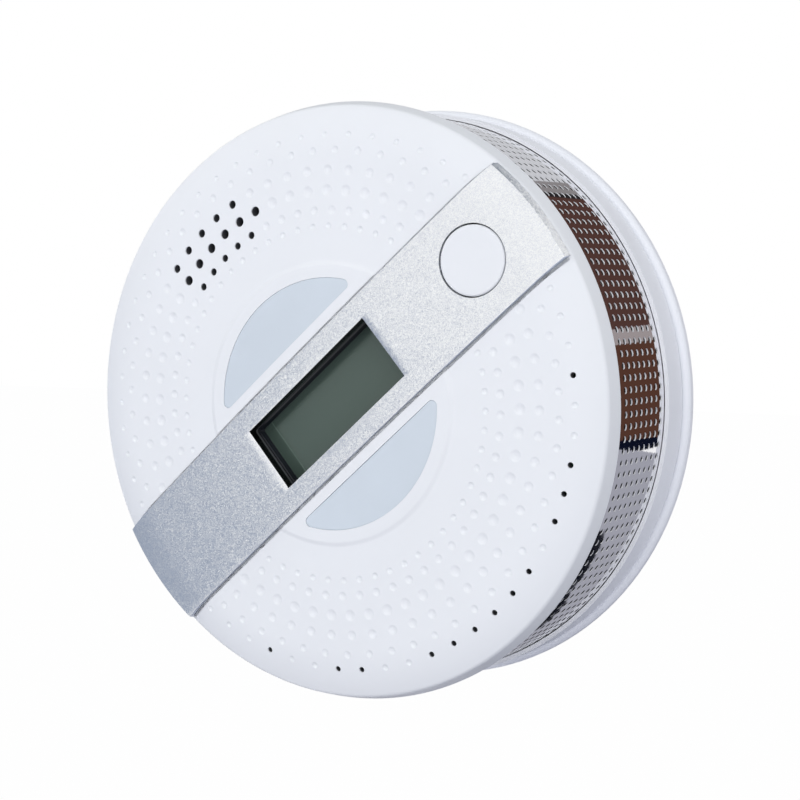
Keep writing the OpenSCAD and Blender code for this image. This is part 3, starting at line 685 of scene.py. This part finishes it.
def mesh_solid():
    """Perforated sheet rolled into a ring. Each cell's edge has twelve points, joined to a hole of twelve
    points; the same cells on the sheet's inner face, with the holes' walls between. The holes are a little
    wider outside, and the attribute marks their walls, on which the finish paints light and shade."""
    mesh = props().mesh
    n, columns, pitch = mesh.rows, mesh.columns, mesh.pitch * MM
    low = mesh.first * MM - pitch / 2
    flare = 0.02e-3
    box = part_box("mesh_band")
    ends = sorted((-box[0][1] * MM, -box[1][1] * MM))
    surface = Surface()
    fine = (np.arange(3 * n) / 3 - 0.5) * 2 * np.pi / n + mesh.turn
    coarse = (np.arange(n) - 0.5) * 2 * np.pi / n + mesh.turn
    middle = np.arange(n)[:, None] * 2 * np.pi / n + mesh.turn
    turn = np.radians(225 + 30 * np.arange(12))
    i = 3 * np.arange(n)[:, None]
    k = np.arange(4)
    holes, borders = {}, {}
    for r, outward in ((mesh.radius * MM, True), ((mesh.radius - mesh.sheet) * MM, False)):
        radius = (mesh.hole / 2 + (flare if outward else -flare)) * MM
        rows = [surface.ring(r, fine, low + j * pitch) for j in range(columns + 1)]
        for j in range(columns):
            sides = [surface.ring(r, coarse, low + (j + part) * pitch) for part in (1 / 3, 2 / 3)]
            edge = np.hstack((rows[j][(i + k) % (3 * n)], *(np.roll(v, -1)[:, None] for v in sides),
                              rows[j + 1][(i + 3 - k) % (3 * n)], *(v[:, None] for v in sides[::-1])))
            a = middle + radius * np.cos(turn) / (mesh.radius * MM)
            z = low + (j + 0.5) * pitch + radius * np.sin(turn)
            flat = np.stack((r * np.cos(a), r * np.sin(a), np.broadcast_to(z, a.shape)), -1)
            hole = surface.add(flat.reshape(-1, 3)).reshape(n, 12)
            cells = quads(edge, hole)
            surface.faces += (cells if outward else cells[:, ::-1]).tolist()
            holes.setdefault(j, []).append(hole)
        borders[outward] = (surface.ring(r, fine, ends[0]), rows[0], rows[-1], surface.ring(r, fine, ends[1]))
    walls_start = len(surface.faces)
    for outer, inner in holes.values():
        surface.faces += quads(outer, inner).tolist()
    walls_end = len(surface.faces)
    back, first, final, front = borders[True]
    back_in, first_in, final_in, front_in = borders[False]
    for a, b in ((first, back), (front, final), (back, back_in),
                 (back_in, first_in), (final_in, front_in), (front_in, front)):
        surface.band(a, b)
    band = surface.piece("steel_band", 40)
    bright = band.data.attributes.new("bright", "FLOAT", "FACE")
    index = np.arange(len(surface.faces))
    bright.data.foreach_set("value", ((index >= walls_start) & (index < walls_end)).astype(np.float32))
    return band


# Finishes

def new_material(name):
    """Empty Principled material, with its node tree and shader."""
    material = bpy.data.materials.new(name)
    material.use_nodes = True
    return material, material.node_tree, material.node_tree.nodes["Principled BSDF"]


def fill(tree, node, values):
    """Links or sets a node's inputs, from sockets or plain values by name or number; gives its outputs."""
    for key, value in values.items():
        if isinstance(value, bpy.types.NodeSocket):
            tree.links.new(value, node.inputs[key])
        else:
            node.inputs[key].default_value = value
    return node.outputs


def maths(tree, operation, *values):
    """Math node on sockets or plain numbers."""
    node = tree.nodes.new("ShaderNodeMath")
    node.operation = operation
    return fill(tree, node, dict(enumerate(values)))["Value"]


def vector_maths(tree, operation, *values):
    """Vector Math node on sockets or plain vectors. A length or a dot product is a number."""
    node = tree.nodes.new("ShaderNodeVectorMath")
    node.operation = operation
    outputs = fill(tree, node, dict(enumerate(values)))
    return outputs["Value" if operation in ("LENGTH", "DOT_PRODUCT") else "Vector"]


def all_of(tree, *tests):
    """One where every source passes its test against a limit, else zero."""
    value = 1.0
    for source, test, limit in tests:
        value = maths(tree, "MULTIPLY", maths(tree, test, source, limit), value)
    return value


def object_place(tree):
    """The place on the surface, in Object coordinates."""
    return tree.nodes.new("ShaderNodeTexCoord").outputs["Object"]


def noise(tree, scale, detail=3.0):
    """Noise on Object coordinates; the scale counts waves in a metre."""
    values = {"Scale": scale, "Detail": detail, "Roughness": 0.55, "Vector": object_place(tree)}
    return fill(tree, tree.nodes.new("ShaderNodeTexNoise"), values)["Fac"]


def spread(tree, source, low, high, start=0.35, end=0.65):
    """Stretches a value between two limits."""
    values = {"Value": source, "From Min": start, "From Max": end, "To Min": low, "To Max": high}
    return fill(tree, tree.nodes.new("ShaderNodeMapRange"), values)["Result"]


def blend_colour(tree, source, first, second):
    """Mixes two colours, each a socket or a plain colour, by a value."""
    node = tree.nodes.new("ShaderNodeMix")
    node.data_type = "RGBA"
    colours = (c if isinstance(c, bpy.types.NodeSocket) else (*c, 1) for c in (first, second))
    return fill(tree, node, {"Factor": source, **dict(zip("AB", colours))})["Result"]


def relief(tree, source, height, strength):
    """Bump of a height in metres."""
    values = {"Strength": strength, "Distance": height, "Height": source}
    return fill(tree, tree.nodes.new("ShaderNodeBump"), values)["Normal"]


def from_axis(tree):
    """Distance from the middle axis, with the place's Y and Z."""
    place = object_place(tree)
    split = fill(tree, tree.nodes.new("ShaderNodeSeparateXYZ"), {"Vector": place})
    length = vector_maths(tree, "LENGTH", vector_maths(tree, "MULTIPLY", place, (1, 0, 1)))
    return length, split["Y"], split["Z"]


def across_bar(tree, turn=0.0):
    """Signed distance from the bar's middle line, or from that line turned about the face's middle."""
    angle = props().bar.angle + turn
    return vector_maths(tree, "DOT_PRODUCT", object_place(tree), (-math.sin(angle), 0, math.cos(angle)))


def off_middle(tree, turn=0.0):
    """Distance from the bar's middle line, or from that line turned, without its sign."""
    return maths(tree, "ABSOLUTE", across_bar(tree, turn))


def painted_shade_mask(tree):
    """Where shade is painted: one inside the closed case, a little less in holes and in the bar's channel,
    else
    zero. Inside: nearer the middle axis than the band, and between floor and face. Holes and channel: under
    the cover's surface, and outside the raised middle or near the bar. Heights are along Y, which falls away
    from the wall."""
    face = props().face
    band_inside, floor, under_face = 0.05345, -0.0046, -0.0352
    holes_end, skin, channel_half, hole_shade_part = 0.0522, 0.00028, 0.0114, 0.89
    past_step = 0.001
    length, height, _ = from_axis(tree)
    # Painted shade over the whole inside of the closed case
    inside = all_of(tree, (length, "LESS_THAN", band_inside), (height, "LESS_THAN", floor),
                    (height, "GREATER_THAN", under_face))
    depth = maths(tree, "MULTIPLY_ADD", maths(tree, "POWER", length, 2), -1 / (2 * face.dome), height)
    past = maths(tree, "MAXIMUM", maths(tree, "SUBTRACT", length, edge_radius() / MM - face.shoulder), 0)
    depth = maths(tree, "MULTIPLY_ADD", maths(tree, "POWER", past, 2), -face.fall / face.shoulder ** 2, depth)
    # Painted shade, a little weaker, in the cover's holes and the bar's channel below the surface
    sunk = all_of(tree, (length, "LESS_THAN", holes_end), (height, "LESS_THAN", floor),
                  (depth, "GREATER_THAN", skin - face.height))
    ring = maths(tree, "GREATER_THAN", length, face.plateau + past_step)
    channel = maths(tree, "LESS_THAN", off_middle(tree), channel_half)
    sunk = maths(tree, "MULTIPLY", sunk, maths(tree, "MAXIMUM", ring, channel))
    return maths(tree, "MAXIMUM", inside, maths(tree, "MULTIPLY", sunk, hole_shade_part))


def shades(colour, drift):
    """A colour darkened and lightened by a part of itself."""
    return [tuple(np.clip(colour * part, 0, 1)) for part in (1 - drift, 1 + drift)]


def grained(name, colour, rough, grain, height, metal=0.0, vary=0.04, coat=0.0, painted_shade=None):
    """Plain finish with a fine grain: colour and roughness drift with a broad noise, and a fine noise gives
    relief. A dark colour of painted shade takes over inside the closed case, in its holes and in the bar's
    channel."""
    material, tree, shader = new_material(name)
    broad_waves, fine_detail, rough_drift, relief_strength = 45, 2.0, 0.08, 0.5
    broad = noise(tree, broad_waves)
    fine = noise(tree, grain, fine_detail)
    shade = blend_colour(tree, spread(tree, broad, 0, 1), *shades(np.array(colour), vary))
    # Painted shade takes over where the mask is one
    if painted_shade:
        shade = blend_colour(tree, painted_shade_mask(tree), shade, painted_shade)
    roughness = spread(tree, broad, rough * (1 - rough_drift), min(1, rough * (1 + rough_drift)))
    bump = relief(tree, fine, height, relief_strength)
    fill(tree, shader, {"Base Color": shade, "Roughness": roughness, "Normal": bump})
    fill(tree, shader, {"Metallic": metal, "Coat Weight": coat})
    return material


def white_plastic(name, colour, height, painted_shade=None):
    """Moulded white plastic, almost even in colour."""
    grain, drift = 5200, 0.008
    return grained(name, colour, props().finish.shell_rough, grain, height, vary=drift, painted_shade=painted_shade)


def flake_paint(name, colour, rough, flake, lean, wall):
    """Metal flakes in lacquer: each cell of a fine Voronoi pattern leans its own way and has its own shade.
    Further than a given distance from the bar's middle line, on its long walls, painted shade darkens the
    paint, and in the window it is black."""
    material, tree, shader = new_material(name)
    bar = props().bar
    shade_drift, rough_drift, rough_waves = 0.1, 0.15, 900
    painted_wall_shade, window_black, window_margin = (0.70, 0.73, 0.79), (0.012, 0.014, 0.018), 0.00001
    place = {"Vector": object_place(tree), "Scale": flake}
    cells = fill(tree, tree.nodes.new("ShaderNodeTexVoronoi"), place)["Color"]
    shift = vector_maths(tree, "MULTIPLY_ADD", cells, (2 * lean,) * 3, (-lean,) * 3)
    normal = tree.nodes.new("ShaderNodeNewGeometry").outputs["Normal"]
    leaning = vector_maths(tree, "NORMALIZE", vector_maths(tree, "ADD", normal, shift))
    pick = fill(tree, tree.nodes.new("ShaderNodeSeparateColor"), {"Color": cells})["Red"]
    colour = np.array(colour)
    shade = blend_colour(tree, pick, *shades(colour, shade_drift))
    # Painted shade on the bar's long walls, past a distance from its middle line
    shaded_long_wall = maths(tree, "GREATER_THAN", off_middle(tree), wall)
    shade = blend_colour(tree, shaded_long_wall, shade, tuple(colour * painted_wall_shade))
    sizes = ((off_middle(tree), bar.window_width), (off_middle(tree, math.pi / 2), bar.window_length))
    window = all_of(tree, *((away, "LESS_THAN", extent / 2 + window_margin) for away, extent in sizes))
    shade = blend_colour(tree, window, shade, window_black)
    roughness = spread(tree, noise(tree, rough_waves), rough * (1 - rough_drift), rough * (1 + rough_drift))
    fill(tree, shader, {"Base Color": shade, "Roughness": roughness, "Normal": leaning, "Metallic": 1.0})
    return material


def polished_steel(name, colour, rough, radius, sheet):
    """Mirror-like sheet with slow waves from rolling. The marked walls of its holes are matt, with painted
    light near the outside and painted shade further in; the painted light narrows with the square of the
    distance from one height."""
    material, tree, shader = new_material(name)
    waves, wave_height, wave_strength = noise(tree, 70, 1.0), 0.00004, 0.35
    # Painted light and shade on the hole walls: the height where the painted light is widest, its narrowing,
    # and the depths where painted shade and painted light begin
    light_z, narrowing, dark_at, light_at = 0.008, -0.103, 0.68, 0.58
    painted_hole_shade, painted_hole_light, wall_rough = (0.004, 0.004, 0.006), (0.97, 0.975, 0.985), 0.6
    mark = tree.nodes.new("ShaderNodeAttribute")
    mark.attribute_name = "bright"
    mark = mark.outputs["Fac"]
    length, _, z = from_axis(tree)
    off = maths(tree, "SUBTRACT", z, light_z)
    out = maths(tree, "MULTIPLY_ADD", maths(tree, "MULTIPLY", off, off), narrowing, length)
    lit = spread(tree, out, 0, 1, radius - dark_at * sheet, radius - light_at * sheet)
    # Hole wall colour: painted shade deep in, painted light near the outside
    wall = blend_colour(tree, lit, painted_hole_shade, painted_hole_light)
    fill(tree, shader, {"Normal": relief(tree, waves, wave_height, wave_strength),
                        "Base Color": blend_colour(tree, mark, tuple(colour), wall),
                        "Metallic": spread(tree, mark, 1, 0, 0, 1),
                        "Roughness": spread(tree, mark, rough, wall_rough, 0, 1)})
    return material


def display_glass(name, colour):
    """Dark display: a film with a faint streak near the short edge, under smooth glass."""
    material, tree, shader = new_material(name)
    streak_at, streak_half, streak_gain = -0.01395, 0.00014, 1.5
    streak = maths(tree, "COMPARE", across_bar(tree, -math.pi / 2), streak_at, streak_half)
    colour = np.array(colour)
    shade = blend_colour(tree, streak, tuple(colour), tuple(colour * streak_gain))
    rough_waves, smooth, rough = 220, 0.20, 0.26
    roughness = spread(tree, noise(tree, rough_waves), smooth, rough)
    fill(tree, shader, {"Base Color": shade, "Roughness": roughness, "Specular IOR Level": 0.4})
    return material


# Studio

def rays_seen(tree):
    """One where a ray comes from the camera, from gloss or through glass, else zero."""
    path = tree.nodes.new("ShaderNodeLightPath").outputs
    seen = maths(tree, "MAXIMUM", path["Is Camera Ray"], path["Is Glossy Ray"])
    return maths(tree, "MAXIMUM", seen, path["Is Transmission Ray"])


def show(tree, output, part, lit, seen):
    """Sends a mix of two shaders to the tree's output: the first, and by the given part the second."""
    mix = fill(tree, tree.nodes.new("ShaderNodeMixShader"), {0: part, 1: lit, 2: seen})["Shader"]
    fill(tree, tree.nodes[output], {"Surface": mix})


def white_world(scene):
    """White where it is seen, and softer where it lights."""
    world = bpy.data.worlds.new("studio")
    scene.world = world
    world.use_nodes = True
    tree = world.node_tree
    soft = fill(tree, tree.nodes["Background"], {"Color": (0.92, 0.947, 1.0, 1), "Strength": 0.585})
    white = fill(tree, tree.nodes.new("ShaderNodeBackground"), {"Color": (1, 1, 1, 1)})
    show(tree, "World Output", rays_seen(tree), soft["Background"], white["Background"])


def aimed(name, data, place, aim):
    """Lamp or camera at a place, turned toward its aim."""
    obj = placed(name, data)
    obj.location = place
    obj.rotation_mode = "QUATERNION"
    obj.rotation_quaternion = (Vector(aim) - obj.location).to_track_quat("-Z", "Y")
    return obj


def lamp(name, place, width, power):
    """Square soft light that faces the object and is not seen in gloss."""
    light = bpy.data.lights.new(name, "AREA")
    light.shape, light.size, light.energy = "SQUARE", width, power
    aimed(name, light, place, (0, -0.02, 0)).visible_glossy = False


def plane(name, corners, material):
    """Flat stage piece on its corners."""
    mesh = bpy.data.meshes.new(name)
    mesh.from_pydata([tuple(map(float, c)) for c in corners], [], [range(len(corners))])
    mesh.materials.append(material)
    obj = placed(name, mesh)
    return obj


def pale_floor():
    """Pale floor well below the object: mostly white where it is seen, and it takes the shadow."""
    material, tree, shader = new_material("pale_floor")
    half, low, white_part = 4.0, -0.3, 0.99
    fill(tree, shader, {"Base Color": (0.38, 0.39, 0.47, 1), "Roughness": 0.9, "Specular IOR Level": 0.0})
    glow = tree.nodes.new("ShaderNodeEmission")
    part = maths(tree, "MULTIPLY", rays_seen(tree), white_part)
    show(tree, "Material Output", part, shader.outputs["BSDF"], glow.outputs["Emission"])
    plane("floor", ((-half, -half, low), (half, -half, low), (half, half, low), (-half, half, low)), material)


def card(name, colour, away, corners):
    """Coloured card that only gloss sees. Its corners are turns right of the wall's inward normal and turns
    up, in degrees, seen from the band's right side."""
    material, tree, _ = new_material(name)
    level, band_side = max(1, *colour), (0.05, -0.02, 0)
    light = {"Color": (*(c / level for c in colour), 1), "Strength": level}
    glow = fill(tree, tree.nodes.new("ShaderNodeEmission"), light)["Emission"]
    fill(tree, tree.nodes["Material Output"], {"Surface": glow})
    right, up = np.radians(corners).T
    ways = np.column_stack((np.sin(right) * np.cos(up), np.cos(right) * np.cos(up), np.sin(up)))
    obj = plane(name, away * ways + band_side, material)
    obj.visible_camera = obj.visible_diffuse = obj.visible_shadow = obj.visible_transmission = False


# Operators

class DETECTOR_OT_cover(bpy.types.Operator):
    """Make the white cover with its dimples, holes, channel and windows"""
    bl_idname = "detector.cover"
    bl_label = "Front Cover"

    def execute(self, context):
        bar, look = props().bar, props().finish
        clear, corner = 0.4, 0.6
        cover = cover_solid()
        window = rounded_rectangle(bar.window_length * MM + clear, bar.window_width * MM + clear, corner)
        cutters = [*channel_cutters(), prism("window_hole", window), button_hole(), hole_cutters()]
        cutters += [prism("lens_hole", lens_outline(0), turn) for turn in (0, math.pi)]
        cut_away(cover, cutters)
        # The black plastic's colour doubles as painted shade inside the cover, in its holes and in the
        # channel
        white = white_plastic("moulded_white", look.shell, 0.000012, tuple(look.black))
        ride(cover, "detector", "white_plastic", white, "front_cover")
        return {"FINISHED"}


class DETECTOR_OT_bar(bpy.types.Operator):
    """Make the silver bar with its window and the button's hole"""
    bl_idname = "detector.bar"
    bl_label = "Silver Bar"

    def execute(self, context):
        bar, look = props().bar, props().finish
        # wall is the distance from the bar's middle line past which the long walls get painted shade
        flakes, lean, wall = 7600, 0.145, bar.width / 2 - 0.00004
        trim = bar_solid()
        cut_away(trim, [window_cutter(), button_hole()], 40)
        silver = flake_paint("silver_flake", look.silver, look.silver_rough, flakes, lean, wall)
        ride(trim, "detector", "silver_trim", silver, "silver_bar")
        return {"FINISHED"}


class DETECTOR_OT_button(bpy.types.Operator):
    """Make the round test button"""
    bl_idname = "detector.button"
    bl_label = "Test Button"

    def execute(self, context):
        look = props().finish
        white = white_plastic("button_white", look.shell, 0.00001)
        ride(button_solid(), "button", "white_plastic", white, "test_button")
        return {"FINISHED"}


class DETECTOR_OT_lenses(bpy.types.Operator):
    """Make the two translucent light windows"""
    bl_idname = "detector.lenses"
    bl_label = "Light Windows"

    def execute(self, context):
        look = props().finish
        glow = grained("translucent_lens", look.lens, 0.3, 3000, 0.000006, vary=0.03)
        for name, turn in (("upper", 0.0), ("lower", math.pi)):
            ride(lens_solid(f"lens_{name}", turn), "detector", "lens_plastic", glow, f"light_window_{name}")
        return {"FINISHED"}


class DETECTOR_OT_display(bpy.types.Operator):
    """Make the display's black frame and finish its glass"""
    bl_idname = "detector.display"
    bl_label = "Display"

    def execute(self, context):
        look = props().finish
        black = grained("frame_black", look.black, 0.35, 4000, 0.00002)
        ride(bezel_solid(), "detector", "black_plastic", black, "lcd_bezel")
        dress("lcd_glass", display_glass("display_film", look.display))
        return {"FINISHED"}


class DETECTOR_OT_mesh(bpy.types.Operator):
    """Make the perforated steel band"""
    bl_idname = "detector.mesh"
    bl_label = "Steel Band"

    def execute(self, context):
        mesh, look = props().mesh, props().finish
        steel = polished_steel("mirror_steel", look.steel, look.steel_rough, mesh.radius, mesh.sheet)
        ride(mesh_solid(), "detector", "mesh_steel", steel, "mesh_band")
        return {"FINISHED"}


class DETECTOR_OT_carried(bpy.types.Operator):
    """Finish the CAD pieces that stay in view: case, plate and everything inside"""
    bl_idname = "detector.carried"
    bl_label = "Case and Inside"

    def execute(self, context):
        look = props().finish
        finishes = {
            # The black plastic's colour doubles as painted shade inside the case
            "white_plastic": white_plastic("case_white", look.case, 0.000012, tuple(look.black)),
            "black_plastic": grained("inner_black", look.black, 0.5, 2500, 0.00002),
            "ivory_plastic": grained("plunger_ivory", (0.72, 0.68, 0.55), 0.4, 2500, 0.00001),
            "board_laminate": grained("board_green", (0.02, 0.12, 0.06), 0.35, 900, 0.00003, vary=0.15),
            "elastomer": grained("strip_rubber", (0.42, 0.25, 0.24), 0.7, 3000, 0.00002),
            "led_epoxy": grained("lamp_clear", (0.78, 0.76, 0.62), 0.15, 1200, 0.000005),
            "dark_epoxy": grained("lamp_dark", (0.03, 0.02, 0.05), 0.15, 1200, 0.000005),
            "plated_steel": grained("plated_steel", (0.55, 0.55, 0.54), 0.28, 2600, 0.00001, metal=1.0),
            "can_aluminium": grained("can_aluminium", (0.66, 0.66, 0.68), 0.32, 2600, 0.00001, metal=1.0),
            "disc_brass": grained("disc_brass", (0.70, 0.52, 0.20), 0.3, 2600, 0.00001, metal=1.0),
            "cell_sleeve": grained("cell_sleeve", (0.06, 0.06, 0.07), 0.3, 700, 0.00001, vary=0.2, coat=0.3),
            "sensor_body": grained("sensor_grey", (0.07, 0.07, 0.08), 0.5, 2500, 0.00002),
        }
        for part in frame["record"]["subparts"]:
            finish = finishes.get(part["material_slot"])
            if finish:
                dress(part["node"], finish)
        return {"FINISHED"}


class DETECTOR_OT_stage(bpy.types.Operator):
    """Set up the camera, the white studio and its lights"""
    bl_idname = "detector.stage"
    bl_label = "Studio"

    def execute(self, context):
        scene = context.scene
        scene.view_settings.view_transform = "Standard"
        view = bpy.data.cameras.new("camera")
        view.lens, view.sensor_width, view.clip_start = 80.31, 36, 0.01
        place, aim = (0.17639, -0.31142, 0.02163), (0.01327, -0.0345, 0.00099)
        scene.camera = aimed("camera", view, place, aim)
        white_world(scene)
        for row in LAMPS:
            lamp(*row)
        pale_floor()
        for row in CARDS:
            card(*row)
        return {"FINISHED"}


class DETECTOR_PT_panel(bpy.types.Panel):
    """Lists the detector's pieces and sizes"""
    bl_label = "Detector"
    bl_space_type = "VIEW_3D"
    bl_region_type = "UI"
    bl_category = "Detector"

    def draw(self, context):
        for operator in OPERATORS:
            self.layout.operator(operator.bl_idname)
        for name in GROUPS:
            box = self.layout.box()
            group = getattr(context.scene, name)
            for key in group.bl_rna.properties.keys():
                if key not in ("rna_type", "name"):
                    box.prop(group, key)


GROUPS = {"detector_face": DetectorFace, "detector_bar": DetectorBar, "detector_lenses": DetectorLenses,
          "detector_mesh": DetectorMesh, "detector_finish": DetectorFinish}
OPERATORS = (DETECTOR_OT_stage, DETECTOR_OT_carried, DETECTOR_OT_cover, DETECTOR_OT_bar, DETECTOR_OT_button,
             DETECTOR_OT_lenses, DETECTOR_OT_display, DETECTOR_OT_mesh)


def register():
    for cls in (*GROUPS.values(), *OPERATORS, DETECTOR_PT_panel):
        bpy.utils.register_class(cls)
    for name, cls in GROUPS.items():
        setattr(bpy.types.Scene, name, bpy.props.PointerProperty(type=cls))


def unregister():
    for name in GROUPS:
        delattr(bpy.types.Scene, name)
    for cls in (DETECTOR_PT_panel, *reversed(OPERATORS), *GROUPS.values()):
        bpy.utils.unregister_class(cls)


def main():
    """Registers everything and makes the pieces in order."""
    register()
    for operator in OPERATORS:
        group, name = operator.bl_idname.split(".")
        getattr(getattr(bpy.ops, group), name)()


if __name__ == "__main__":
    main()
